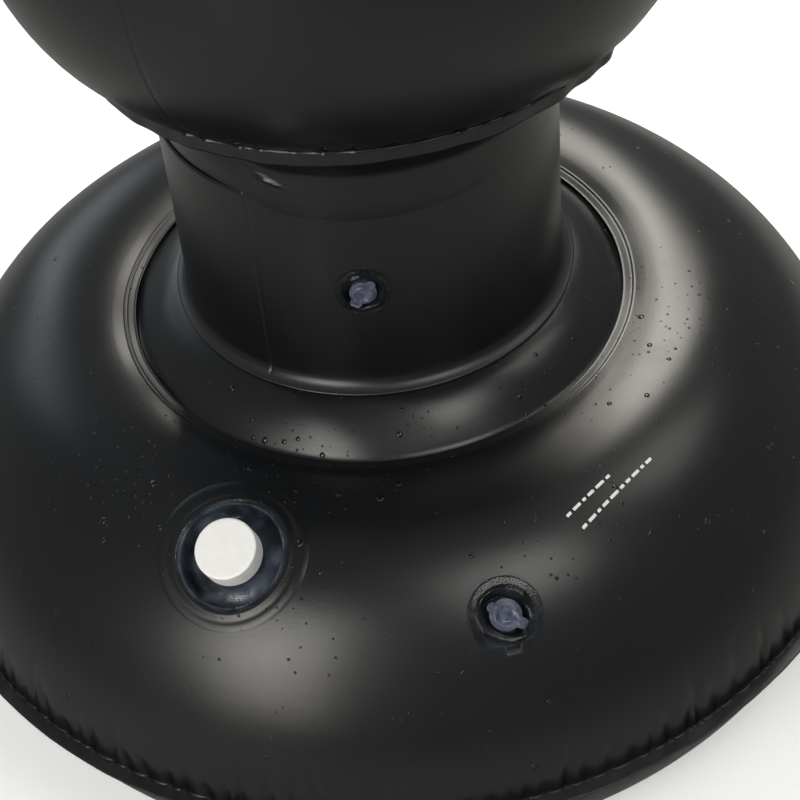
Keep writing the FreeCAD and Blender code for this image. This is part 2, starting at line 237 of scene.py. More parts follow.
def new_object(name, points, faces, material):
    """Mesh object from points in metres."""
    mesh = bpy.data.meshes.new(name)
    mesh.from_pydata([tuple(p) for p in points], [], [tuple(f) for f in faces])
    mesh.validate()
    mesh.polygons.foreach_set("use_smooth", [True] * len(mesh.polygons))
    mesh.materials.append(material)
    made = bpy.data.objects.new(name, mesh)
    bpy.context.scene.collection.objects.link(made)
    return made


def grid_faces(rows, columns, closed):
    """Quads of a grid of points, row by row."""
    row, column = np.meshgrid(np.arange(rows - 1), np.arange(columns if closed else columns - 1),
                              indexing="ij")
    here = row * columns + column
    beside = row * columns + (column + 1) % columns
    return np.stack([here, beside, beside + columns, here + columns], -1).reshape(-1, 4)


def thicken(made, thickness=SHEET):
    """Gives a sheet its thickness, inwards."""
    solid = made.modifiers.new("sheet", "SOLIDIFY")
    solid.thickness = thickness * MM
    solid.offset = -1
    solid.use_even_offset = False
    graph = bpy.context.evaluated_depsgraph_get()
    finished = bpy.data.meshes.new_from_object(made.evaluated_get(graph))
    made.modifiers.clear()
    made.data = finished
    return made


def drill(made, fitting, radius):
    """Cuts a round hole through a sheet along a fitting's axis, with its rim on the sheet."""
    work = bmesh.new()
    work.from_mesh(made.data)
    local = fitting.local(np.array([vert.co for vert in work.verts]) / MM)
    away = np.hypot(local[:, 0], local[:, 1])
    inside = (away < radius) & (np.abs(local[:, 2]) < REACH)
    for vert, cut in zip(work.verts, inside):
        vert.tag = bool(cut)
    gone = [face for face in work.faces if all(vert.tag for vert in face.verts)]
    bmesh.ops.delete(work, geom=gone, context="FACES")
    rim = [vert for vert in work.verts if vert.tag]
    local = fitting.local(np.array([vert.co for vert in rim]) / MM)
    x, y = local[:, :2].T * radius / np.hypot(local[:, 0], local[:, 1])
    places = fitting.world(np.stack([x, y, fitting.sheet_height(x, y)], -1)) * MM
    for vert, place in zip(rim, places):
        vert.co = place
    work.to_mesh(made.data)
    work.free()
    return made


def merge_pole(made):
    """Merges the points of a sheet that meet on the axis."""
    work = bmesh.new()
    work.from_mesh(made.data)
    bmesh.ops.remove_doubles(work, verts=work.verts, dist=1e-6)
    bmesh.ops.delete(work, geom=[e for e in work.edges if not e.link_faces], context="EDGES")
    work.to_mesh(made.data)
    work.free()


def press(made, values):
    """Stores on each point how strongly the sheet is pressed by a weld, for its material."""
    pressed = made.data.attributes.new("weld", "FLOAT", "POINT")
    pressed.data.foreach_set("value", np.asarray(values, np.float32).ravel())


def turned_sheet(name, outline, marks, segments, material, relief, weld=None,
                 centre=(0, 0), arc=(0.0, 360.0), shifted=None):
    """Sheet swept by an outline about the vertical axis, with a relief laid on it.

    relief(azimuth, distance) gives how far each point moves outwards and upwards, in
    millimetres; weld(distance) is how strongly the sheet is pressed there, 0 to 1.
    shifted(distance) is how much of the step from the origin to the centre is taken there.
    """
    closed = arc[1] - arc[0] >= 360
    count = segments if closed else segments + 1
    azimuth = np.radians(arc[0] + (arc[1] - arc[0]) * np.arange(count) / segments)
    place, normal = along(outline, marks)
    angle, distance = np.meshgrid(azimuth, marks)
    out, up = relief(angle, distance)
    radius = place[:, :1] + normal[:, :1] * out
    height = place[:, 1:] + normal[:, 1:] * out + up
    share = shifted(distance) if shifted else 1.0
    points = np.stack([
        radius * np.cos(angle) + centre[0] * share,
        radius * np.sin(angle) + centre[1] * share,
        height + 0 * angle,
    ], -1).reshape(-1, 3) * MM
    made = new_object(name, points, grid_faces(len(marks), count, closed), material)
    if weld:
        press(made, weld(distance))
    if outline[0, 0] < 1e-6 or outline[-1, 0] < 1e-6:
        merge_pole(made)
    return made


# ---------------------------------------------------------------- materials

def feed(tree, made, inputs):
    """Sets a node's inputs. Each is a number, a colour or another node's output."""
    for key, value in inputs.items():
        if isinstance(value, bpy.types.NodeSocket):
            tree.links.new(value, made.inputs[key])
        else:
            made.inputs[key].default_value = value


def node(tree, kind, inputs=(), **settings):
    """Adds a shader node."""
    made = tree.nodes.new(kind)
    for key, value in settings.items():
        setattr(made, key, value)
    feed(tree, made, dict(inputs))
    return made


def maths(tree, operation, a, b=0.0):
    return node(tree, "ShaderNodeMath", {0: a, 1: b}, operation=operation).outputs[0]


def times(tree, a, b):
    return maths(tree, "MULTIPLY", a, b)


def plus(tree, a, b):
    return maths(tree, "ADD", a, b)


def mixed(tree, share, first, second):
    """Colour between two others."""
    return node(tree, "ShaderNodeMix", {"Factor": share, "A": first, "B": second},
                data_type="RGBA").outputs["Result"]


def raised(tree, height, strength=1.0, distance=1.0):
    """Surface direction of a material whose fine relief has this height in metres."""
    return node(tree, "ShaderNodeBump", {
        "Height": height, "Strength": strength, "Distance": distance}).outputs["Normal"]


def domes(tree, cells, radius_squared):
    """Round humps, one to a cell, in units of the cell's size."""
    inside = maths(tree, "SUBTRACT", radius_squared, maths(tree, "POWER", cells.outputs["Distance"], 2.0))
    return maths(tree, "SQRT", maths(tree, "MAXIMUM", inside, 0.0))


def droplets(tree, place, scale):
    """Voronoi cells, and two random numbers for each of them."""
    cells = node(tree, "ShaderNodeTexVoronoi", {"Vector": place, "Scale": scale}, feature="F1")
    return cells, node(tree, "ShaderNodeSeparateColor", {"Color": cells.outputs["Color"]}).outputs


def between(tree, value, low, high, to_low, to_high):
    """Value mapped from one range to another, and held at the ends."""
    return node(tree, "ShaderNodeMapRange", {
        "Value": value, "From Min": low, "From Max": high, "To Min": to_low, "To Max": to_high,
    }).outputs["Result"]


def colours(tree, value, *stops):
    """Colour ramp with (position, grey or colour) stops."""
    ramp = node(tree, "ShaderNodeValToRGB", {"Fac": value})
    elements = ramp.color_ramp.elements
    while len(elements) < len(stops):
        elements.new(0.5)
    for element, (position, colour) in zip(elements, stops):
        element.position = position
        element.color = (*colour, 1)
    return ramp.outputs["Color"]


def start_material(name):
    material = bpy.data.materials.new(name)
    material.use_nodes = True
    tree = material.node_tree
    return material, tree, tree.nodes["Principled BSDF"]


def place_of(tree, stretch=(1, 1, 1)):
    """Position on the object in metres, stretched."""
    coords = node(tree, "ShaderNodeTexCoord").outputs["Object"]
    return node(tree, "ShaderNodeMapping", {"Vector": coords, "Scale": stretch}).outputs["Vector"]


def noise(tree, place, scale, detail=3.0, roughness=0.5):
    return node(tree, "ShaderNodeTexNoise", {
        "Vector": place, "Scale": scale, "Detail": detail, "Roughness": roughness,
    }).outputs["Fac"]


# Where water was splashed on the base: azimuth, radius, height and reach, in degrees and mm
SPLASHES = ((-112, 238, 225, 70), (-62, 232, 225, 60), (-112, 142, 215, 45), (-88, 140, 215, 40),
            (-22, 178, 235, 60), (-50, 135, 215, 40), (-140, 200, 235, 60))


def splashed(tree, place):
    """How close a place is to a splash, about 0 far from all of them and 1 in the middle of one."""
    total = 0.0
    for azimuth, radius, height, reach in SPLASHES:
        turn = math.radians(azimuth)
        middle = (radius * math.cos(turn) * MM, radius * math.sin(turn) * MM, height * MM)
        away = node(tree, "ShaderNodeVectorMath", {0: place, 1: middle}, operation="DISTANCE")
        total = plus(tree, total, between(tree, away.outputs["Value"], 0.0, reach * MM, 1.0, 0.0))
    return total


def water_beads(tree, place, scale, radius, wetness):
    """Height of domed beads, at most one to a cell, and most of them where it is wettest."""
    cells, chance = droplets(tree, place, scale)
    chosen = maths(tree, "GREATER_THAN", chance[0], between(tree, wetness, 0.0, 0.8, 0.93, 0.0))
    reach = times(tree, between(tree, chance[1], 0, 1, 0.45, 1.0), radius)
    dome = domes(tree, cells, maths(tree, "POWER", reach, 2.0))
    return times(tree, times(tree, chosen, dome), 0.5 / scale)


def black_vinyl(name, wet):
    """Satin PVC sheet: fine calender grain, scuffs, grey pressed welds and perhaps water beads."""
    material, tree, shader = start_material(name)
    place = place_of(tree)
    mottle = noise(tree, place, 7.0, 4.0, 0.6)
    grain = noise(tree, place_of(tree, (1, 1, 2.6)), 950.0, 2.0)
    scuff = noise(tree, place_of(tree, (1, 1, 9)), 38.0, 6.0, 0.7)
    pressed = node(tree, "ShaderNodeAttribute", attribute_name="weld").outputs["Fac"]
    sheet = colours(tree, mottle, (0.3, (0.0042, 0.0048, 0.0058)), (0.75, (0.0062, 0.0068, 0.0080)))
    weld = colours(tree, scuff, (0.3, (0.013, 0.0135, 0.015)), (0.7, (0.018, 0.019, 0.021)))

    dull = between(tree, mottle, 0.3, 0.7, 0.27, 0.32)
    dull = plus(tree, dull, between(tree, scuff, 0.55, 0.8, 0.0, 0.07))
    dull = plus(tree, dull, times(tree, pressed, 0.08))
    height = plus(tree, times(tree, grain, 0.00005), times(tree, scuff, 0.00004))
    if wet:
        wetness = splashed(tree, place)
        beads = plus(tree, water_beads(tree, place, 92.0, 0.20, wetness),
                     water_beads(tree, place, 230.0, 0.22, wetness))
        height = plus(tree, height, beads)
        is_bead = maths(tree, "GREATER_THAN", beads, 1e-5)
        dull = times(tree, dull, between(tree, is_bead, 0, 1, 1.0, 0.2))
    feed(tree, shader, {"Base Color": mixed(tree, pressed, sheet, weld), "Roughness": dull,
                        "Normal": raised(tree, height), "IOR": 1.5})
    return material


def beads_and_waves(tree, place, share):
    """Height of fine water beads on a gently uneven clear surface."""
    cells, chance = droplets(tree, place, 330.0)
    chosen = maths(tree, "GREATER_THAN", chance[0], 1 - share)
    bead = times(tree, chosen, domes(tree, cells, 0.06))
    return plus(tree, times(tree, bead, 0.0016), times(tree, noise(tree, place, 240.0, 2.0), 0.00025))


def clear_film(name, cloud):
    """Thin clear PVC: a dark see-through film with a glossy face and bluish cloudy patches."""
    material, tree, shader = start_material(name)
    place = place_of(tree)
    patches = noise(tree, place, 85.0, 4.0, 0.6)
    relief = raised(tree, beads_and_waves(tree, place, 0.25))
    tone = colours(tree, patches, (0.35, (0.014 * cloud, 0.017 * cloud, 0.023 * cloud)),
                   (0.80, (0.08 * cloud, 0.10 * cloud, 0.13 * cloud)))
    facing = node(tree, "ShaderNodeLayerWeight", {"Blend": 0.35, "Normal": relief}).outputs["Facing"]
    body = plus(tree, between(tree, patches, 0.48, 0.75, 0.34, 0.62),
                between(tree, facing, 0.3, 1.0, 0.0, 0.35))
    feed(tree, shader, {"Base Color": tone, "Roughness": between(tree, patches, 0.3, 0.7, 0.10, 0.22),
                        "Normal": relief, "Alpha": body})
    return material


def clear_block(name):
    """Thicker clear PVC of the valves: milky lavender, with a painted highlight that lightens it where it is
    seen edge-on.
    """
    material, tree, shader = start_material(name)
    place = place_of(tree)
    patches = noise(tree, place, 260.0, 3.0, 0.6)
    facing = node(tree, "ShaderNodeLayerWeight", {"Blend": 0.4}).outputs["Facing"]
    body = colours(tree, patches, (0.3, (0.05, 0.06, 0.105)), (0.7, (0.17, 0.19, 0.28)))
    # Painted highlight: where the surface is seen at a slant, the colour is mixed towards a light grey-blue.
    edge = between(tree, facing, 0.35, 0.9, 0.0, 0.8)
    feed(tree, shader, {
        "Base Color": mixed(tree, edge, body, (0.62, 0.66, 0.75, 1)),
        "Roughness": between(tree, patches, 0.3, 0.7, 0.12, 0.24),
        "Transmission Weight": 0.35, "IOR": 1.48,
        "Normal": raised(tree, beads_and_waves(tree, place, 0.12)),
    })
    return material


def white_plastic(name):
    """Moulded polyethylene: faint mottling, a satin skin and painted shade that greys its hollows."""
    material, tree, shader = start_material(name)
    place = place_of(tree)
    mottle = noise(tree, place, 160.0, 4.0, 0.6)
    speck = noise(tree, place, 1500.0, 2.0)
    edge = node(tree, "ShaderNodeNewGeometry").outputs["Pointiness"]
    tone = colours(tree, mottle, (0.3, (0.90, 0.90, 0.885)), (0.7, (0.95, 0.95, 0.94)))
    # Painted shade: where the surface curves inwards, in its hollows and grooves, the colour is mixed
    # towards grey.
    wear_and_hollow_shade = between(tree, edge, 0.44, 0.5, 0.8, 1.0)
    height = plus(tree, times(tree, speck, 0.00002), times(tree, mottle, 0.0001))
    feed(tree, shader, {
        "Base Color": mixed(tree, wear_and_hollow_shade, (0.62, 0.62, 0.61, 1), tone),
        "Roughness": between(tree, mottle, 0.3, 0.7, 0.36, 0.48),
        "Subsurface Weight": 0.15, "Subsurface Radius": (0.003, 0.003, 0.003),
        "Normal": raised(tree, height),
    })
    return material


def foam(name):
    """Closed-cell foam of the cap's liner, with painted shade in the pits of its cells."""
    material, tree, shader = start_material(name)
    cells = node(tree, "ShaderNodeTexVoronoi", {"Vector": place_of(tree), "Scale": 1400.0})
    depth = cells.outputs["Distance"]
    # Painted shade: the colour is darker towards the middle of each cell, where the bump makes a pit.
    tone = colours(tree, depth, (0.1, (0.55, 0.56, 0.57)), (0.6, (0.72, 0.73, 0.74)))
    feed(tree, shader, {"Base Color": tone, "Roughness": 0.8,
                        "Normal": raised(tree, depth, 0.4, 0.0003)})
    return material


def print_ink(name):
    """White screen print, a little rubbed away and thin in places."""
    material, tree, shader = start_material(name)
    wear_and_hollow_shade = noise(tree, place_of(tree), 700.0, 5.0, 0.7)
    tone = colours(tree, wear_and_hollow_shade, (0.3, (0.45, 0.45, 0.45)), (0.42, (0.78, 0.78, 0.77)))
    feed(tree, shader, {"Base Color": tone, "Roughness": between(tree, wear_and_hollow_shade, 0.3, 0.7, 0.5, 0.7)})
    return material


# ---------------------------------------------------------------- base

def cushion_side():
    return curve((SEAM_RADIUS, SEAM_HEIGHT + 1), (SEAM_RADIUS, SEAM_HEIGHT + 49),
                 (CREST[0] + 79, CREST[1] - 12.0), (CREST[0] + 38, CREST[1] + 0.8), CREST)


def cushion_top():
    """Top sheet from the lip's edge over the crest to the free edge of the ring."""
    lip_height = SEAM_HEIGHT + 1
    hem = (RING_RADIUS + HEM_WIDTH, RING_HEIGHT + HEM_RISE)
    fall = 0.17                  # slope of the sheet just outside the hem
    return chain(
        (LIP_EDGE, lip_height),
        corner((LIP_EDGE, lip_height), (SEAM_RADIUS, lip_height), (SEAM_RADIUS, lip_height + 9), 1.2),
        cushion_side()[3:],
        curve(CREST, (CREST[0] - 6, CREST[1]), (hem[0] + 5, hem[1] + 5 * fall + 0.3), hem),
        (RING_RADIUS, hem[1] - 0.3 * HEM_RISE),
    )


def cushion_bottom():
    lip_height = SEAM_HEIGHT - 0.1
    return chain(
        (0.0, 0.0),
        (214.0, 0.0),
        curve((214, 0), (254, 0), (SEAM_RADIUS - 5, 38), (SEAM_RADIUS - 1, SEAM_HEIGHT - 8)),
        corner((SEAM_RADIUS - 1, lip_height - 8), (SEAM_RADIUS, lip_height), (LIP_EDGE, lip_height), 2.0),
        (LIP_EDGE, lip_height),
    )


CUSHION_SEGMENTS = 1320
FLUTTER = 0.6                # how far the free lip waves up and down


def base_top(material, seam):
    outline = cushion_top()
    total = lengths(outline)[-1]
    hem = math.hypot(HEM_WIDTH, HEM_RISE)

    def relief(azimuth, distance):
        to_edge = total - distance
        out = -seam.puckers(azimuth, distance, LIP)
        out += 0.5 * swell(azimuth, distance, 11) * smooth((distance - LIP) / 60) * smooth(to_edge / 30)
        hem_shown = 0.15 + 0.85 * smooth((np.abs(np.degrees(wrap(azimuth + math.pi / 2))) - 35) / 25)
        out += 0.34 * hem_shown * np.exp(-((to_edge - hem) / 0.45) ** 2)
        out -= 0.22 * hem_shown * np.exp(-((to_edge - hem + 1.1) / 0.5) ** 2)
        out += 0.30 * hem_shown * np.exp(-((to_edge - 0.3) / 0.5) ** 2)
        up = FLUTTER * seam.waves(azimuth, distance, LIP)
        up += 0.7 * swell(azimuth, 0 * distance, 12, around=14) * smooth(1 - to_edge / 18)
        return out, up

    def weld(distance):
        return np.maximum(near(distance, LIP), 0.35 * smooth(hem + 0.6 - total + distance))

    marks = stations(total, (0, LIP + 3, 0.6), (LIP + 3, LIP + 34, 1.6),
                     (total - 14, total - 8, 0.8), (total - 8, total, 0.4))
    return turned_sheet("base_top", outline, marks, CUSHION_SEGMENTS, material, relief, weld)


def base_bottom(material, seam):
    outline = cushion_bottom()
    total = lengths(outline)[-1]

    def relief(azimuth, distance):
        from_edge = total - distance
        return -seam.puckers(azimuth, from_edge, LIP), FLUTTER * seam.waves(azimuth, from_edge, LIP)

    def weld(distance):
        return near(total - distance, LIP)

    marks = stations(total, (total - LIP - 34, total - LIP - 3, 2.0), (total - LIP - 3, total, 0.8))
    return turned_sheet("base_bottom", outline, marks, CUSHION_SEGMENTS, material, relief, weld)


def disc_outline():
    return chain(
        curve((149.5, 209.9), (147.5, 210.2), (145.5, 210.5), (142.8, 212.0)),
        curve((142.8, 212.0), (133, 223.8), (124, 232.5), (111, FOOT_HEIGHT)),
        curve((111, FOOT_HEIGHT), (83.5, 241), (40, 252), (0, 252)),
    )


def base_disc(material):
    outline = disc_outline()
    total = lengths(outline)[-1]

    def relief(azimuth, distance):
        swelling = smooth(distance / 8) * smooth((42 - distance) / 8)
        return 0.5 * swell(azimuth, distance, 21, around=16, length=40) * swelling, 0 * distance

    marks = stations(total, (0, 46, 1.5), (46, total, 8))
    return turned_sheet("base_disc", outline, marks, 720, material, relief)


# ---------------------------------------------------------------- column

def column_outline():
    return chain(
        curve((COLUMN_RADIUS + 6.5, FOOT_HEIGHT + 0.4), (COLUMN_RADIUS + 2.5, FOOT_HEIGHT + 1.8),
              (COLUMN_RADIUS, FOOT_HEIGHT + 4.5), (COLUMN_RADIUS, FOOT_HEIGHT + 9)),
        (COLUMN_RADIUS, COLUMN_TOP),
    )


COLUMN_SEAM = -126.0         # azimuths of the vertical welds
TORSO_SEAM = -122.8


def upright_seam(azimuth, centre, radius):
    """Relief of a lapped vertical weld: a low ridge with a fine groove along one side."""
    across = wrap(azimuth - math.radians(centre)) * radius
    return 0.1 * np.exp(-(across / 1.8) ** 4) - 0.5 * np.exp(-((across - 1.9) / 0.55) ** 2)


def column(material):
    outline = column_outline()
    total = lengths(outline)[-1]

    def relief(azimuth, distance):
        out = 0.6 * swell(azimuth, distance, 31, around=7) * smooth(distance / 20)
        out += upright_seam(azimuth, COLUMN_SEAM, COLUMN_RADIUS) * smooth(distance / 8)
        return out, 0 * distance

    def weld(distance):
        return smooth((6.0 - distance) / 1.5) * 0.8

    marks = stations(total, (0, 10, 0.8), (10, total, 3))
    return turned_sheet("column", outline, marks, 900, material, relief, weld)


# ---------------------------------------------------------------- torso

def torso_bottom_outline():
    """Panel that leaves the column in a soft fold, widens to the weld and ends in the fin."""
    root = (WELD_RADIUS - 1.1, WELD_HEIGHT)
    tip = (WELD_RADIUS + FIN[0], WELD_HEIGHT + FIN[1])
    fold = (COLUMN_RADIUS + 1.2, COLUMN_TOP + 15)
    return chain(
        curve((COLUMN_RADIUS - 1.1, COLUMN_TOP - 15), (COLUMN_RADIUS + 0.3, COLUMN_TOP - 8),
              (fold[0] - 0.8, fold[1] - 8), fold),
        curve(fold, (fold[0] + 1.2, fold[1] + 14), (WELD_RADIUS - 13, WELD_HEIGHT - 24),
              (WELD_RADIUS - 1.6, WELD_HEIGHT - 2)),
        corner((WELD_RADIUS - 1.6, WELD_HEIGHT - 2), root, tip, 0.8),
        tip,
    )


def fold_rise(azimuth):
    """How much higher the fold lies than at the front. It climbs towards the dummy's left back."""
    turned = np.degrees(wrap(azimuth + math.pi / 2))
    return 15 * smooth((-20 - turned) / 30) * smooth((200 + turned) / 60)


def fold_pleat(azimuth, distance):
    """Sharp pleat where the fold meets the column's upright seam."""
    level = 28 - 0.3 * (np.degrees(wrap(azimuth)) - COLUMN_SEAM)
    ridge = np.exp(-np.abs((distance - level) / 1.1) ** 1.5)
    return 1.7 * ridge * bump_at(azimuth, COLUMN_SEAM + 7, 9)


def torso_side_outline():
    root = (WELD_RADIUS - 0.7, WELD_HEIGHT + 0.65)
    low_tip = (WELD_RADIUS + FIN[0], WELD_HEIGHT + FIN[1] + 0.1)
    high_tip = (SHOULDER[0] + SHOULDER_FIN, SHOULDER[1] + SHOULDER_FIN)
    return chain(
        low_tip,
        corner(low_tip, root, (WELD_RADIUS + 3, WELD_HEIGHT + 3), 0.8),
        curve((WELD_RADIUS + 0.5, WELD_HEIGHT + 1.5), (WELD_RADIUS + 26, WELD_HEIGHT + 21),
              (WAIST[0], WAIST[1] - 60), WAIST)[3:],
        curve(WAIST, (WAIST[0], WAIST[1] + 120), (CHEST[0], CHEST[1] - 110), CHEST),
        curve(CHEST, (CHEST[0], CHEST[1] + 120), (SHOULDER[0] + 35, SHOULDER[1] - 45), SHOULDER)[:-2],
        high_tip,
    )


def fin_folds(weld_line, azimuth, from_tip):
    """Waves of the hanging fin, larger on the side of the column away from its seam."""
    right = smooth((np.degrees(wrap(azimuth + math.pi / 2)) - 5) / 35)
    return weld_line.waves(azimuth, from_tip, FIN_LENGTH) * (0.9 + 0.7 * right)


TORSO_SEGMENTS = 1080
SHOULDER_FLUTTER = 1.2


def torso_bottom(material, weld_line):
    outline = torso_bottom_outline()
    total = lengths(outline)[-1]

    def relief(azimuth, distance):
        from_tip = total - distance
        out = fold_pleat(azimuth, distance) - weld_line.puckers(azimuth, from_tip, FIN_LENGTH)
        out += fin_folds(weld_line, azimuth, from_tip)
        return out, fold_rise(azimuth) * smooth((60 - distance) / 50)

    def weld(distance):
        return 0.05 * near(total - distance, FIN_LENGTH)

    root = total - FIN_LENGTH
    marks = stations(total, (0, 26, 0.8), (26, root, 2), (root - 2, total, 0.8))
    return turned_sheet("torso_bottom", outline, marks, TORSO_SEGMENTS, material, relief, weld,
                        centre=TORSO_CENTRE.xy, shifted=lambda distance: smooth((distance - 12) / 45))


def torso_side(material, low_weld, high_weld):
    outline = torso_side_outline()
    total = lengths(outline)[-1]
    high_root = total - SHOULDER_FIN_LENGTH

    def relief(azimuth, distance):
        to_end = total - distance
        out = -low_weld.puckers(azimuth, distance, FIN_LENGTH)
        out -= high_weld.puckers(azimuth, to_end, SHOULDER_FIN_LENGTH)
        out += 0.9 * swell(azimuth, distance, 41, length=400) * smooth((distance - FIN_LENGTH) / 40)
        on_side = smooth((distance - FIN_LENGTH) / 5) * smooth((high_root - distance) / 5)
        out += upright_seam(azimuth, TORSO_SEAM, WAIST[0]) * on_side
        out -= fin_folds(low_weld, azimuth, distance)
        out += SHOULDER_FLUTTER * high_weld.waves(azimuth, to_end, SHOULDER_FIN_LENGTH)
        return out, 0 * distance

    def weld(distance):
        return np.maximum(0.05 * near(distance, FIN_LENGTH),
                          near(total - distance, SHOULDER_FIN_LENGTH))

    marks = stations(total, (0, FIN_LENGTH + 2, 0.8), (FIN_LENGTH + 2, FIN_LENGTH + 30, 2),
                     (high_root - 30, high_root - 2, 2), (high_root - 2, total, 0.8))
    return turned_sheet("torso_side", outline, marks, TORSO_SEGMENTS, material, relief, weld,
                        centre=TORSO_CENTRE.xy)


def shoulder_outline():
    root = (SHOULDER[0] - 1.6, SHOULDER[1] + 0.4)
    tip = (SHOULDER[0] + SHOULDER_FIN - 0.1, SHOULDER[1] + SHOULDER_FIN)
    return chain(
        tip,
        corner(tip, root, (SHOULDER[0] - 6, SHOULDER[1] + 5), 0.8),
        curve(root, (SHOULDER[0] - 30, SHOULDER[1] + 32), (NECK_RADIUS + 38, NECK_FOOT - 9),
              (NECK_RADIUS + 7, NECK_FOOT - 2.4))[2:],
        (NECK_RADIUS - 2, NECK_FOOT + 0.6),
    )


def shoulder(material, high_weld, neck_weld):
    outline = shoulder_outline()
    total = lengths(outline)[-1]

    def relief(azimuth, distance):
        out = -high_weld.puckers(azimuth, distance, SHOULDER_FIN_LENGTH)
        out -= neck_weld.valleys(azimuth, total - distance)
        out -= SHOULDER_FLUTTER * high_weld.waves(azimuth, distance, SHOULDER_FIN_LENGTH)
        return out, 0 * distance

    def weld(distance):
        return near(distance, SHOULDER_FIN_LENGTH)

    marks = stations(total, (0, SHOULDER_FIN_LENGTH + 2, 0.8), (SHOULDER_FIN_LENGTH + 2, total, 2))
    return turned_sheet("shoulder", outline, marks, TORSO_SEGMENTS, material, relief, weld,
                        centre=TORSO_CENTRE.xy)


def neck(material, neck_weld):
    outline = chain(
        curve((NECK_RADIUS + 6, NECK_FOOT - 1), (NECK_RADIUS + 1, NECK_FOOT + 3),
              (NECK_RADIUS, NECK_FOOT + 10), (NECK_RADIUS, NECK_FOOT + 24)),
        (NECK_RADIUS, NECK_TOP),
    )
    total = lengths(outline)[-1]

    def relief(azimuth, distance):
        return -neck_weld.valleys(azimuth, distance), 0 * distance

    def weld(distance):
        return 0.6 * smooth((5 - distance) / 2)

    return turned_sheet("neck", outline, stations(total, (0, total, 1.5)), 480, material, relief,
                        weld, centre=TORSO_CENTRE.xy)


# ---------------------------------------------------------------- head

def head_outline():
    return chain(
        curve((NECK_RADIUS, NECK_TOP + 1), (NECK_RADIUS + 6, NECK_TOP + 22),
              (HEAD_RADIUS, HEAD_WIDEST - 80), (HEAD_RADIUS, HEAD_WIDEST)),
        curve((HEAD_RADIUS, HEAD_WIDEST), (HEAD_RADIUS, HEAD_WIDEST + 85),
              (HEAD_RADIUS - 42, CROWN_HEIGHT), (0, CROWN_HEIGHT)),
    )


def head_half(name, material, side, weld_line):
    """Front (-1) or back (+1) half of the head, puckered along the weld in the XZ plane."""
    outline = head_outline()
    total = lengths(outline)[-1]
    start = 0.0 if side > 0 else 180.0

    def relief(azimuth, distance):
        radius = np.interp(distance, lengths(outline), outline[:, 0])
        from_weld = np.abs(np.sin(azimuth)) * radius
        position = np.where(np.cos(azimuth) > 0, distance, 2 * total - distance) / HEAD_RADIUS
        return -weld_line.valleys(position, from_weld), 0 * distance

    return turned_sheet(name, outline, stations(total, (0, total, 2)), 240, material, relief,
                        centre=TORSO_CENTRE.xy, arc=(start, start + 180))


def head_fin(name, material, side, weld_line):
    """Flat welded strip that runs from the neck over the crown and down the other side."""
    outline = head_outline()
    total = lengths(outline)[-1]
    marks = stations(total, (0, total, 2))
    place, normal = along(outline, marks)
    normal[-1] = (0, 1)
    across = np.array([-0.6, 0.0, 1.5, 3, 4.5, HEAD_FIN])
    rows = []
    for mirror, order in ((1, slice(None)), (-1, slice(-2, None, -1))):
        for k in range(len(marks))[order]:
            position = (marks[k] if mirror > 0 else 2 * total - marks[k]) / HEAD_RADIUS
            wave = weld_line.flutter(np.array([position]))[0]
            rows.append([(mirror * (place[k, 0] + normal[k, 0] * reach) + TORSO_CENTRE.x,
                          TORSO_CENTRE.y + side * 0.05 + 1.0 * wave * max(reach, 0) / HEAD_FIN,
                          place[k, 1] + normal[k, 1] * reach) for reach in across])
    points = np.array(rows).reshape(-1, 3) * MM
    faces = grid_faces(len(rows), len(across), False)
    if side < 0:
        faces = faces[:, ::-1]
    made = new_object(name, points, faces, material)
    press(made, np.ones(len(points)))
    return made


# ---------------------------------------------------------------- fittings

def joint(name):
    return next(j for j in frame["joints"] if j["name"] == name)


class Fitting:
    """Frame of a fitting, in millimetres: Z leaves the sheet and X points to the strap's root."""

    def __init__(self, origin, x, z, sheet_side):
        self.origin = np.array(origin, float)
        self.x = np.array(x, float)
        self.z = np.array(z, float)
        self.y = np.cross(self.z, self.x)
        self.sheet_side = sheet_side

    def world(self, points):
        return (self.origin + points[..., :1] * self.x + points[..., 1:2] * self.y
                + points[..., 2:] * self.z)

    def local(self, points):
        away = points - self.origin
        return np.stack([away @ self.x, away @ self.y, away @ self.z], -1)

    def sheet_height(self, x, y):
        """Height along Z at which the line above (x, y) leaves the sheet."""
        low, high = np.full_like(x, -REACH), np.full_like(x, REACH)
        for _ in range(40):
            middle = (low + high) / 2
            inside = self.sheet_side(self.world(np.stack([x, y, middle], -1))) < 0
            low, high = np.where(inside, middle, low), np.where(inside, high, middle)
        return (low + high) / 2


def cushion_height(points):
    """Height of the cushion's top sheet above the floor, where the points are in plan."""
    outline = cushion_top()
    rise = outline[lengths(outline) > LIP + 2][::-1]
    return np.interp(np.hypot(points[..., 0], points[..., 1]), rise[:, 0], rise[:, 1])


def above_cushion(points):
    return points[..., 2] - cushion_height(points)


def outside_column(points):
    return np.hypot(points[..., 0], points[..., 1]) - COLUMN_RADIUS


def filler_fitting():
    spin = joint("cap_spin")
    axis = np.array(spin["axis"])
    downhill = np.array([axis[0], axis[1], 0.0])
    x = downhill - axis * (downhill @ axis)
    return Fitting(np.array(spin["pos_m"]) / MM, x / np.linalg.norm(x), axis, above_cushion)


def valve_fitting(prefix, strap_root, sheet_side):
    hinge = joint(prefix + "_plug_open")
    z = np.array(joint(prefix + "_valve_pull")["axis"])
    x = np.cross(np.array(hinge["axis"]), z)
    origin = np.array(hinge["pos_m"]) / MM - x * strap_root - z * 1.5
    return Fitting(origin, x, z, sheet_side)


def rounded(radius, *corners):
    """Closed outline whose corners are rounded."""
    corners = [np.array(c, float) for c in corners]
    pieces = []
    for k, point in enumerate(corners):
        before, after = corners[k - 1], corners[(k + 1) % len(corners)]
        room = min(np.hypot(*(before - point)), np.hypot(*(after - point))) * 0.45
        pieces.append(corner(before, point, after, min(radius, room), steps=4))
    return np.concatenate(pieces)


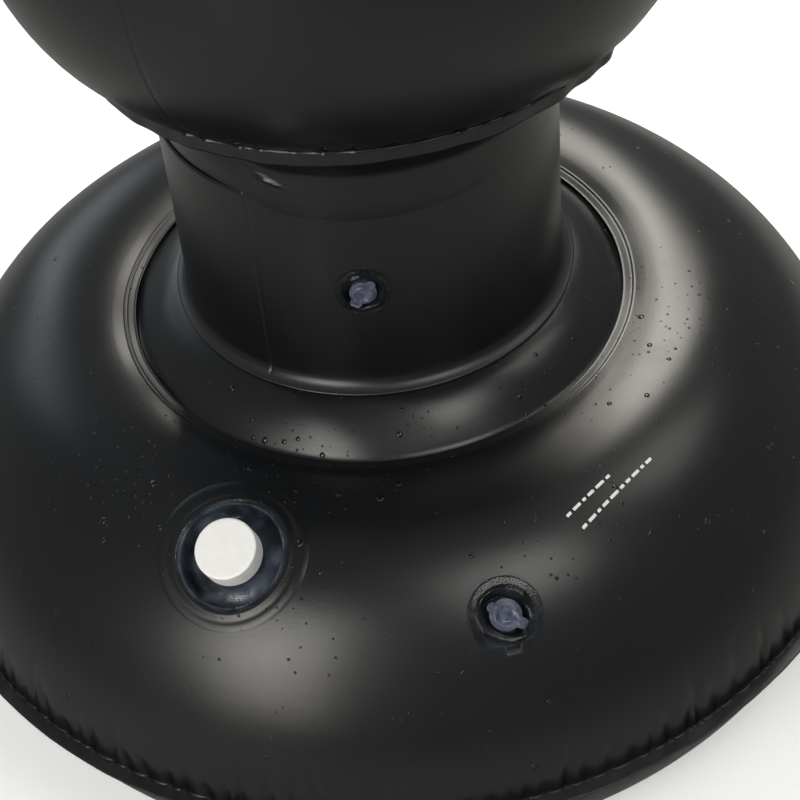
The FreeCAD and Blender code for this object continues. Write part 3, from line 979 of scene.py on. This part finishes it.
def finer(outline, spacing):
    """The closed outline with extra points, so that none are further apart than the spacing."""
    loop = np.concatenate([outline, outline[:1]])
    points = [loop[0]]
    for start, end in zip(loop[:-1], loop[1:]):
        parts = max(1, math.ceil(np.hypot(*(end - start)) / spacing))
        points += [start + (end - start) * k / parts for k in range(1, parts + 1)]
    return np.array(points[:-1])


def spun(name, fitting, outline, segments, material, body, relief=None, drape=None, drop=None):
    """Solid turned about a fitting's axis from a closed outline of (radius, height).

    relief(angle, radius, height) pushes points outwards and drop(angle, radius, height) lowers
    them. drape(radius, height) is how far a point follows the curved sheet instead of the flat
    plane under the fitting, 0 to 1.
    """
    angle, k = np.meshgrid(ROUND * np.arange(segments) / segments, np.arange(len(outline)))
    radius, height = outline[k, 0], outline[k, 1]
    if relief:
        radius = radius + relief(angle, radius, height)
    if drop:
        height = height - drop(angle, radius, height)
    x, y = radius * np.cos(angle), radius * np.sin(angle)
    if drape:
        height = height + fitting.sheet_height(x, y) * drape(radius, height)
    points = fitting.world(np.stack([x, y, height], -1)).reshape(-1, 3) * MM
    rows = len(outline)
    faces = grid_faces(rows + 1, segments, True) % (rows * segments)
    made = new_object(name, points, faces[:, ::-1], material)
    merge_pole(made)
    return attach(made, body)


def plate(name, fitting, inner, outer, bottom, top, edge, segments, material, body, lift=None):
    """Flat soft plate between two outlines given as radius by angle, with rounded edges.

    The inner outline is None for a plate with no hole. lift(x, y, height) bends it.
    """
    quarter = np.radians(np.linspace(0, 90, 5))[1:]
    grows, shrinks = edge * (1 - np.cos(quarter)), edge * (1 - np.sin(quarter))
    shares = np.linspace(0, 1, 14)
    holed = inner is not None
    inset = edge * (1 - 2 * shares) if holed else -edge * shares
    section = [(share, step, top) for share, step in zip(shares, inset)]
    section += [(1, -b, top - a) for a, b in zip(grows, shrinks)]
    section += [(1, -a, bottom + b) for a, b in zip(grows, shrinks)]
    section += [(share, step, bottom) for share, step in zip(shares[-2::-1], inset[-2::-1])]
    if holed:
        section += [(0, b, bottom + a) for a, b in zip(grows, shrinks)]
        section += [(0, a, top - b) for a, b in zip(grows[:-1], shrinks[:-1])]
    angle = ROUND * np.arange(segments) / segments
    inmost = inner(angle) if holed else np.zeros_like(angle)
    width = outer(angle) - inmost
    rows = []
    for share, step, level in section:
        radius = inmost + width * share + step
        x, y = radius * np.cos(angle), radius * np.sin(angle)
        height = np.full_like(x, level)
        if lift:
            height = height + lift(x, y, height)
        rows.append(np.stack([x, y, height], -1))
    points = fitting.world(np.stack(rows)).reshape(-1, 3) * MM
    count = len(section)
    faces = grid_faces(count + 1 if holed else count, segments, True) % (count * segments)
    made = new_object(name, points, faces[:, ::-1], material)
    merge_pole(made)
    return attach(made, body)


def constant(value):
    return lambda angle: np.full_like(angle, value)


def lobe(angle, direction, distance, radius):
    """Reach of a round lobe whose centre is a distance away from the axis."""
    away = wrap(angle - direction)
    side = radius ** 2 - (distance * np.sin(away)) ** 2
    hit = (side > 0) & (np.cos(away) > 0)
    return np.where(hit, distance * np.cos(away) + np.sqrt(np.maximum(side, 0)), 0)


def strap(angle, half_width, reach):
    """Reach of a straight strap with rounded end corners that leaves the axis along X."""
    away = np.abs(wrap(angle))
    end = (np.minimum(reach / np.cos(away * (away < 1)), 99) ** -12.0
           + (half_width / np.maximum(np.sin(away), 1e-6)) ** -12.0) ** (-1 / 12)
    return np.where(away < 1.2, end, 0)


def joined(*reaches):
    """Outline round several lobes, with softened inner corners."""
    return sum(np.maximum(reach, 1e-3) ** 16 for reach in reaches) ** (1 / 16)


# ---- Water filler

WELL_LIP = 32.0              # inner edge of the black lip round the well
WELL_FLANGE = 37.0           # edge of the clear flange, and of the hole in the sheet
WELL_RIM = 29.0              # bead of the clear bowl
WELL_FLOOR = -15.0
NECK_OUTER = 13.0
CAP_RADIUS = 17.0
CAP_BOTTOM = -5.7
CAP_TOP = 7.8
CAP_BORE = 15.0
CAP_RIDGES = 120
THREAD_PITCH = 4.0


def filler_lip(fitting, material):
    """Black sheet pressed down on the well's flange: a low band with a rolled inner edge."""
    outline = finer(rounded(0.9, (43.5, -0.5), (40.5, 0.25), (38.0, 0.28), (36.0, -0.05), (34.2, 0.12),
                            (32.8, 0.5), (WELL_LIP - 1.2, 0.1), (WELL_LIP - 0.8, -0.9), (35.0, -0.9)), 0.7)
    return spun("filler_lip", fitting, outline, 240, material, "base", drape=lambda r, h: 0 * r + 1)


def filler_well(fitting, material):
    """Clear soft bowl: a flange under the lip, a raised bead, then a round bowl to the neck."""
    bead = WELL_RIM
    outline = chain(
        [(WELL_FLANGE, -0.9), (bead + 3.2, -1.0)],
        curve((bead + 2.6, -1.1), (bead + 1.8, -1.8), (bead + 1.3, -1.9), (bead + 1.0, -1.5), steps=5),
        curve((bead + 0.9, -1.2), (bead + 0.8, 0.3), (bead - 0.6, 0.3), (bead - 0.8, -1.4), steps=8),
        curve((bead - 0.9, -1.9), (bead - 0.6, -8), (bead - 2.4, WELL_FLOOR + SHEET),
              (19.5, WELL_FLOOR + SHEET), steps=20),
        [(NECK_OUTER + 0.1, WELL_FLOOR + SHEET), (NECK_OUTER + 0.1, WELL_FLOOR)],
        curve((19.5, WELL_FLOOR), (bead - 1.5, WELL_FLOOR), (bead + 0.2, -8.5), (bead, -3.2), steps=20),
        curve((bead + 0.1, -2.9), (bead + 0.2, -2.6), (bead + 1.4, -2.7), (bead + 2.8, -2.0), steps=6),
        [(bead + 3.6, -1.8), (WELL_FLANGE, -1.7)],
    )

    def relief(angle, radius, height):
        soft = 0.35 * np.sin(3 * angle + 0.7) + 0.25 * np.sin(5 * angle + 2.1) + 0.12 * np.sin(11 * angle)
        return soft * smooth((radius - 15) / 8) * smooth((-2.5 - height) / 6)

    return spun("filler_bowl", fitting, outline, 240, material, "base", relief,
                drape=lambda r, h: smooth((r - 14) / 13))


def cap(fitting, material):
    """Screw cap with a rounded top edge and fine upright ridges."""
    outline = rounded(1.3, (0.0, CAP_TOP), (CAP_RADIUS, CAP_TOP), (CAP_RADIUS, CAP_BOTTOM),
                      (CAP_BORE, CAP_BOTTOM), (CAP_BORE, CAP_TOP - 1.5), (0.0, CAP_TOP - 1.5))

    def relief(angle, radius, height):
        on_side = (radius > CAP_RADIUS - 0.8) * smooth(CAP_TOP - 1.2 - height)
        on_side = on_side * smooth((height - CAP_BOTTOM - 0.6) / 0.6)
        return -0.22 * on_side * (0.5 + 0.5 * np.cos(CAP_RIDGES * angle)) ** 0.6

    return spun("cap_shell", fitting, finer(outline, 0.9), CAP_RIDGES * 8, material, "cap", relief)


def cap_thread(fitting, material):
    """Helical ridge with a rounded crest, inside the cap."""
    root, crest, bottom, turns = CAP_BORE + 0.05, CAP_BORE - 1.5, -2.0, 1.5
    section = np.array([(root, -0.8), (crest, -0.45), (crest, 0.45), (root, 0.8)])
    steps = round(turns * 96)
    t = np.linspace(0, 1, steps + 1)[:, None]
    fade = smooth(np.minimum(t, 1 - t) * turns / 0.12)
    angle = t * turns * ROUND
    radius = section[:, 0] * fade + root * (1 - fade)
    height = bottom + t * turns * THREAD_PITCH + section[:, 1]
    points = np.stack([radius * np.cos(angle), radius * np.sin(angle), height], -1)
    corners = np.arange((steps + 1) * len(section)).reshape(steps + 1, -1)
    ends = [corners[0, ::-1], corners[-1]]
    faces = list(grid_faces(steps + 1, len(section), True)) + ends
    made = new_object("cap_thread", fitting.world(points).reshape(-1, 3) * MM, faces, material)
    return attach(made, "cap")


# ---- Air valves

VALVES = {
    "base": dict(flange=20.5, bowl=15.8, bead=15.2, stem=7.6, mouth=5.05, head=7.0, length=20.0,
                 depth=6.8, strap_root=12.2, tab=1.6),
    "column": dict(flange=15.0, bowl=11.4, bead=11.6, stem=6.2, mouth=4.3, head=5.6, length=17.0,
                   depth=5.2, strap_root=9.9, tab=2.4),
}


def valve_flange(prefix, size, fitting, material):
    """Clear disc welded on the sheet, with a bead round a soft bowl that leads to the stem."""
    flange, bowl, hole = size["flange"], size["bowl"], size["stem"] + 0.1
    bead = size["bead"]
    low = -size["depth"]
    outline = chain(
        curve((flange, 0.02), (flange, 0.7), (flange - 0.6, 0.8), (flange - 1.2, 0.8), steps=5),
        curve((bead + 1.2, 0.75), (bead + 0.2, 0.7), (bead + 0.1, 1.7), (bead - 1.4, 1.8), steps=8),
        curve((bead - 1.8, 1.8), (hole + 2.0, 1.7), (hole + 1.2, 0.4), (hole + 1.1, -1.0), steps=10),
        curve((hole + 1.0, -1.5), (hole + 1.0, low + 2.8), (hole + 0.9, low + 0.8),
              (hole + 0.6, low + 0.8), steps=5),
        [(hole, low + 0.7), (hole, low)],
        curve((hole + 0.8, low), (bowl - 1.8, low), (bowl - 0.4, low + 2.3), (bowl - 0.4, -1.5),
              steps=8),
        [(bowl - 0.4, -0.6), (bowl + 0.2, 0.02)],
    )
    stretch = size["strap_root"] - size["stem"] - 1.4

    def relief(angle, radius, height):
        """The bowl's mouth is stretched towards the strap and the tab."""
        at_mouth = smooth((bead - 0.6 - radius) / 2.0) * smooth((height + 5) / 3)
        return stretch * np.cos(angle) ** 2 * at_mouth

    def gap_for_strap(angle, radius, height):
        """The bead is left out where the open plug's strap folds over it."""
        across = np.abs(radius * np.sin(angle))
        return smooth((4.8 - across) / 1.5) * (np.cos(angle) > 0) * np.maximum(height - 0.35, 0)

    return spun(prefix + "_valve_disc", fitting, finer(outline, 0.9), 180, material, prefix, relief,
                drape=lambda r, h: smooth((r - bowl + 7) / 6), drop=gap_for_strap)


def valve_marks(prefix, size, fitting, material):
    """Plain raised ticks round the upper part of the flange, in place of any lettering."""
    middle = (size["flange"] + size["bowl"] + 1.5) / 2
    tick = np.array([(-1.6, -0.35), (1.6, -0.35), (1.6, 0.35), (-1.6, 0.35)])
    faces = [(4, 5, 6, 7), (3, 2, 1, 0)] + [(i, (i + 1) % 4, 4 + (i + 1) % 4, 4 + i) for i in range(4)]
    for k in range(7):
        turn = math.pi + (k - 3) * 0.3
        points = []
        for level, shrink in ((0.5, 1.0), (1.15, 0.75)):
            outwards, across = middle + tick[:, 0] * shrink, tick[:, 1] * shrink
            x = outwards * math.cos(turn) - across * math.sin(turn)
            y = outwards * math.sin(turn) + across * math.cos(turn)
            points.append(np.stack([x, y, fitting.sheet_height(x, y) + level], -1))
        points = fitting.world(np.concatenate(points)) * MM
        made = new_object(f"{prefix}_valve_tick_{k}", points, faces, material)
        made.data.polygons.foreach_set("use_smooth", [False] * len(faces))
        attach(made, prefix)


def valve_stem(prefix, size, fitting, material):
    """Tube with a flared lower end, and a collar that reaches out to the strap's root."""
    body = prefix + "_valve"
    mouth, stem, low = size["mouth"], size["stem"], -size["length"]
    tube = rounded(0.35, (mouth + 0.5, 1.4), (stem, 1.4), (stem, low + 1.5), (stem + 1.3, low + 1.5),
                   (stem + 1.3, low), (mouth, low), (mouth, 0.7))
    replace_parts(spun(prefix + "_stem_tube", fitting, finer(tube, 1.5), 96, material, body),
                prefix + "_valve_stem")

    def edge(angle):
        return joined(constant(stem + 1.0)(angle), strap(angle, 3.0, size["strap_root"]))

    plate(prefix + "_stem_collar", fitting, constant(mouth + 0.6), edge, 0.0, 1.35, 0.35, 144,
          material, body)


def valve_plug(prefix, size, fitting, material):
    """Plug head with a finger tab on one side and the strap it hangs on at the other."""
    body = prefix + "_plug"
    mouth, head, root = size["mouth"], size["head"], size["strap_root"]

    def edge(angle):
        return joined(constant(head)(angle), lobe(angle, math.pi, head + size["tab"], 2.7),
                      strap(angle, 2.5, root))

    def lift(x, y, height):
        radius = np.hypot(x, y)
        upper = smooth((height - 1.6) / 0.8)
        rim = 0.45 * np.exp(-((radius - head + 1.0) / 0.6) ** 2) * upper
        dimple = -0.9 * smooth((mouth - 0.4 - radius) / 0.8) * upper
        arch = 0.8 * np.sin(math.pi * np.clip((x - head + 2) / (root - head + 2), 0, 1))
        on_tab = (np.abs(y) < 1.7) * (x < -head + 1.5) * upper
        slots = -0.55 * on_tab * sum(
            np.exp(-((x + head + size["tab"] + place) / 0.4) ** 2) for place in (-0.75, 0.75))
        tab_lift = 0.9 * smooth((-x - head + 1) / 3)
        thinner_root = -0.5 * upper * smooth((x - head - 1) / 2.5)
        return rim + dimple + arch + slots + tab_lift + thinner_root

    made = plate(prefix + "_plug_head", fitting, None, edge, 1.5, 2.7, 0.4, 288, material, body, lift)
    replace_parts(made, prefix + "_valve_plug")
    nose = rounded(0.3, (0.0, 1.6), (mouth - 0.1, 1.6), (mouth - 1.1, -3.6), (0.0, -3.6))
    spun(prefix + "_plug_nose", fitting, finer(nose, 1.2), 72, material, body)


def valve_flap(prefix, size, fitting, material):
    """Check flap under the stem, with its hinge strap on the side away from the plug's."""
    top = -size["length"] - 0.05

    def edge(angle):
        return joined(constant(size["mouth"] + 1.5)(angle), strap(angle + math.pi, 2.5, size["mouth"] + 2.6))

    made = plate(prefix + "_flap_disc", fitting, None, edge, top - 0.7, top, 0.2, 96, material,
                 prefix + "_flap")
    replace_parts(made, prefix + "_valve_flap")


def valve(prefix, sheet_side, clear, tinted):
    size = VALVES[prefix]
    fitting = valve_fitting(prefix, size["strap_root"], sheet_side)
    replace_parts(valve_flange(prefix, size, fitting, clear), prefix + "_valve_flange")
    valve_marks(prefix, size, fitting, clear)
    valve_stem(prefix, size, fitting, tinted)
    valve_plug(prefix, size, fitting, tinted)
    valve_flap(prefix, size, fitting, clear)
    return fitting


# ---- Printed marks

PRINT_ROWS = (((212.8, -66.3), (204.7, -56.4)), ((221.1, -65.1), (210.5, -48.1)))
DASHES = (3.4, 5.6, 2.4, 4.6, 6.4, 3.0)       # lengths, in the order they are printed
DASH_GAP = 1.9
DASH_HEIGHT = 1.6
DASH_ROUNDING = 0.16 * DASH_HEIGHT
DASH_THICKNESS = 0.3


def dash(name, middle, onward, length, material):
    """Plain printed dash with rounded ends, laid on the cushion."""
    side = np.array([-onward[1], onward[0]])
    u, v = np.meshgrid(np.linspace(-1, 1, 15), np.linspace(-1, 1, 7))
    reach = length / 2 - DASH_ROUNDING * (1 - np.sqrt(np.maximum(1 - np.abs(v) ** 3, 0.0)))
    spot = middle + (u * reach)[..., None] * onward + (v * DASH_HEIGHT / 2)[..., None] * side
    height = cushion_height(spot)[..., None] + DASH_THICKNESS
    points = np.concatenate([spot, height], -1).reshape(-1, 3) * MM
    made = new_object(name, points, grid_faces(7, 15, False), material)
    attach(thicken(made, DASH_THICKNESS), "base")


def print_bars(material):
    """Rows of plain white dashes, in place of the printed words, between (radius, azimuth) ends."""
    for row, span in enumerate(PRINT_ROWS):
        first, last = (radius * np.array([math.cos(math.radians(azimuth)), math.sin(math.radians(azimuth))])
                       for radius, azimuth in span)
        room = np.hypot(*(last - first))
        onward = (last - first) / room
        start = 0.0
        for k in itertools.count():
            length = DASHES[k % len(DASHES)]
            if start + length >= room:
                break
            dash(f"print_dash_{row}_{k}", first + (start + length / 2) * onward, onward, length, material)
            start += length + DASH_GAP


# ---------------------------------------------------------------- studio

CAMERA_PLACE = Vector((0.0, -0.8957, 1.0014))
CAMERA_DOWN = 44.73          # how far it looks below the horizon
CAMERA_PAN = 0.36
CAMERA_ROLL = -6.154
FOCAL_LENGTH = 90.05


def camera():
    made = bpy.data.objects.new("camera", bpy.data.cameras.new("camera"))
    made.data.sensor_width = 36
    made.data.lens = FOCAL_LENGTH
    made.data.clip_end = 50
    down, pan = math.radians(CAMERA_DOWN), math.radians(CAMERA_PAN)
    forward = Vector((math.sin(pan) * math.cos(down), math.cos(pan) * math.cos(down), -math.sin(down)))
    right = forward.cross(Vector((0, 0, 1))).normalized()
    right.rotate(Matrix.Rotation(-math.radians(CAMERA_ROLL), 3, forward))
    up = right.cross(forward)
    made.matrix_world = Matrix((
        (right.x, up.x, -forward.x, CAMERA_PLACE.x),
        (right.y, up.y, -forward.y, CAMERA_PLACE.y),
        (right.z, up.z, -forward.z, CAMERA_PLACE.z),
        (0, 0, 0, 1),
    ))
    bpy.context.scene.collection.objects.link(made)
    bpy.context.scene.camera = made


# Soft lights round the base: name, azimuth, elevation, side and distance in metres, radiance, tint
WARM, MILD, COOL = (1.04, 1.0, 0.90), (1.02, 1.0, 0.94), (0.88, 1.0, 1.06)
LIGHTS = (
    ("high_right_light", 60, 50, 0.45, 1.3, 11.2, WARM),
    ("back_light", 80, 34, 0.45, 1.3, 6.4, WARM),
    ("right_light", 0, 50, 0.45, 1.3, 2.4, MILD),
    ("front_light", -60, 50, 0.45, 1.3, 5.1, MILD),
    ("near_left_light", -120, 34, 0.45, 1.3, 5.6, MILD),
    ("low_left_light", -120, 16, 0.45, 1.3, 4.0, WARM),
    ("left_light", -132, 26, 0.9, 2.6, 2.6, MILD),
    ("low_back_light", 120, 16, 0.45, 1.3, 0.95, COOL),
    ("far_back_light", 132, 26, 0.9, 2.6, 1.05, COOL),
)


def softbox(name, azimuth, elevation, side, distance, brightness, colour):
    """Square area light that faces the base from a direction. Brightness is its radiance."""
    made = bpy.data.objects.new(name, bpy.data.lights.new(name, "AREA"))
    made.data.shape = "SQUARE"
    made.data.size = side
    made.data.energy = brightness * math.pi * side ** 2
    made.data.color = colour
    across, rise = math.radians(azimuth), math.radians(elevation)
    away = Vector((math.cos(across) * math.cos(rise), math.sin(across) * math.cos(rise), math.sin(rise)))
    made.location = away * distance + Vector((0, 0, 0.15))
    made.rotation_mode = "QUATERNION"
    made.rotation_quaternion = (-away).to_track_quat("-Z", "Y")
    bpy.context.scene.collection.objects.link(made)


def floor():
    """Pale floor that looks white to the camera, and mid grey in reflections."""
    size = 12.0
    points = [(x * size, y * size, -0.0005) for x, y in ((-1, -1), (1, -1), (1, 1), (-1, 1))]
    material, tree, shader = start_material("studio_floor")
    made = new_object("floor", points, [(0, 1, 2, 3)], material)
    seen = node(tree, "ShaderNodeLightPath").outputs["Is Camera Ray"]
    tone = between(tree, noise(tree, place_of(tree), 3.0), 0.3, 0.7, 0.97, 1.0)
    white = times(tree, between(tree, seen, 0, 1, 0.42, 0.9), tone)
    feed(tree, shader, {"Base Color": white, "Roughness": 0.9, "Emission Color": (1, 1, 1, 1),
                        "Emission Strength": between(tree, seen, 0, 1, 0.0, 0.35)})


def room():
    """Pale surroundings: white to the camera, a dim grey gradient in reflections."""
    world = bpy.data.worlds.new("studio")
    world.use_nodes = True
    bpy.context.scene.world = world
    tree = world.node_tree
    seen = node(tree, "ShaderNodeLightPath").outputs["Is Camera Ray"]
    up = node(tree, "ShaderNodeSeparateXYZ", {
        0: node(tree, "ShaderNodeTexCoord").outputs["Generated"]}).outputs["Z"]
    dim = between(tree, up, 0.0, 1.0, 0.25, 0.22)
    strength = node(tree, "ShaderNodeMix", {"Factor": seen, "A": dim, "B": 0.97}).outputs["Result"]
    feed(tree, tree.nodes["Background"], {"Color": (0.97, 0.985, 1.0, 1), "Strength": strength})


def studio():
    floor()
    room()
    for name, azimuth, elevation, side, distance, brightness, colour in LIGHTS:
        softbox(name, azimuth, elevation, side, distance, brightness, colour)
    camera()
    bpy.context.scene.view_settings.view_transform = "Standard"


# ---------------------------------------------------------------- the dummy


def skin(made, name, body=None):
    """Gives a sheet its thickness and its place on a body, or across a joint, as a CAD solid."""
    thicken(made)
    if body:
        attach(made, body)
    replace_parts(made, name)
    if not body:
        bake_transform(made)


vinyl = black_vinyl("black_vinyl", wet=False)
wet_vinyl = black_vinyl("black_vinyl_wet", wet=True)
clear = clear_film("clear_vinyl", 0.35)
bowl_film = clear_film("clear_vinyl_cloudy", 2.2)
tinted = clear_block("clear_vinyl_thick")
white = white_plastic("white_plastic")

# Seed, radius, spacing, depth and reach of the puckers
seam = Weld(1, SEAM_RADIUS, 12.0, 2.4, 36.0)
low_weld = Weld(2, WELD_RADIUS, 15.0, 2.4, 32.0)
high_weld = Weld(3, SHOULDER[0], 14.0, 2.0, 30.0)
neck_weld = Weld(4, NECK_RADIUS, 12.0, 1.2, 22.0)
head_weld = Weld(5, HEAD_RADIUS, 12.0, 1.8, 26.0)

filler = filler_fitting()
base_valve = valve("base", above_cushion, clear, tinted)
column_valve = valve("column", outside_column, clear, tinted)
filler_lip(filler, wet_vinyl)
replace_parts(filler_well(filler, bowl_film), "filler_well")
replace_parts(cap(filler, white), "filler_cap")
cap_thread(filler, white)
print_bars(print_ink("print_ink"))

top = drill(base_top(wet_vinyl, seam), filler, WELL_FLANGE)
skin(drill(top, base_valve, VALVES["base"]["bowl"] + 0.6), "base_top_skin", "base")
skin(base_bottom(wet_vinyl, seam), "base_bottom_skin", "base")
skin(base_disc(wet_vinyl), "base_top_disc")
skin(drill(column(vinyl), column_valve, VALVES["column"]["bowl"] + 0.6), "column_skin", "column")
skin(torso_bottom(vinyl, low_weld), "torso_bottom_panel")
skin(torso_side(vinyl, low_weld, high_weld), "torso_side_skin", "torso")
skin(shoulder(vinyl, high_weld, neck_weld), "shoulder_panel", "torso")
skin(neck(vinyl, neck_weld), "neck_skin")
for side, word in ((-1, "front"), (1, "back")):
    skin(head_half("head_" + word, vinyl, side, head_weld), "head_" + word + "_panel", "head")
    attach(thicken(head_fin("head_fin_" + word, vinyl, side, head_weld), 0.6), "head")

liner = foam("foam_liner")
for name, finish in (("filler_neck", tinted), ("cap_liner", liner), ("base_tie_web", vinyl)):
    for spot in frame["nodes"][name].material_slots:
        spot.material = finish

studio()
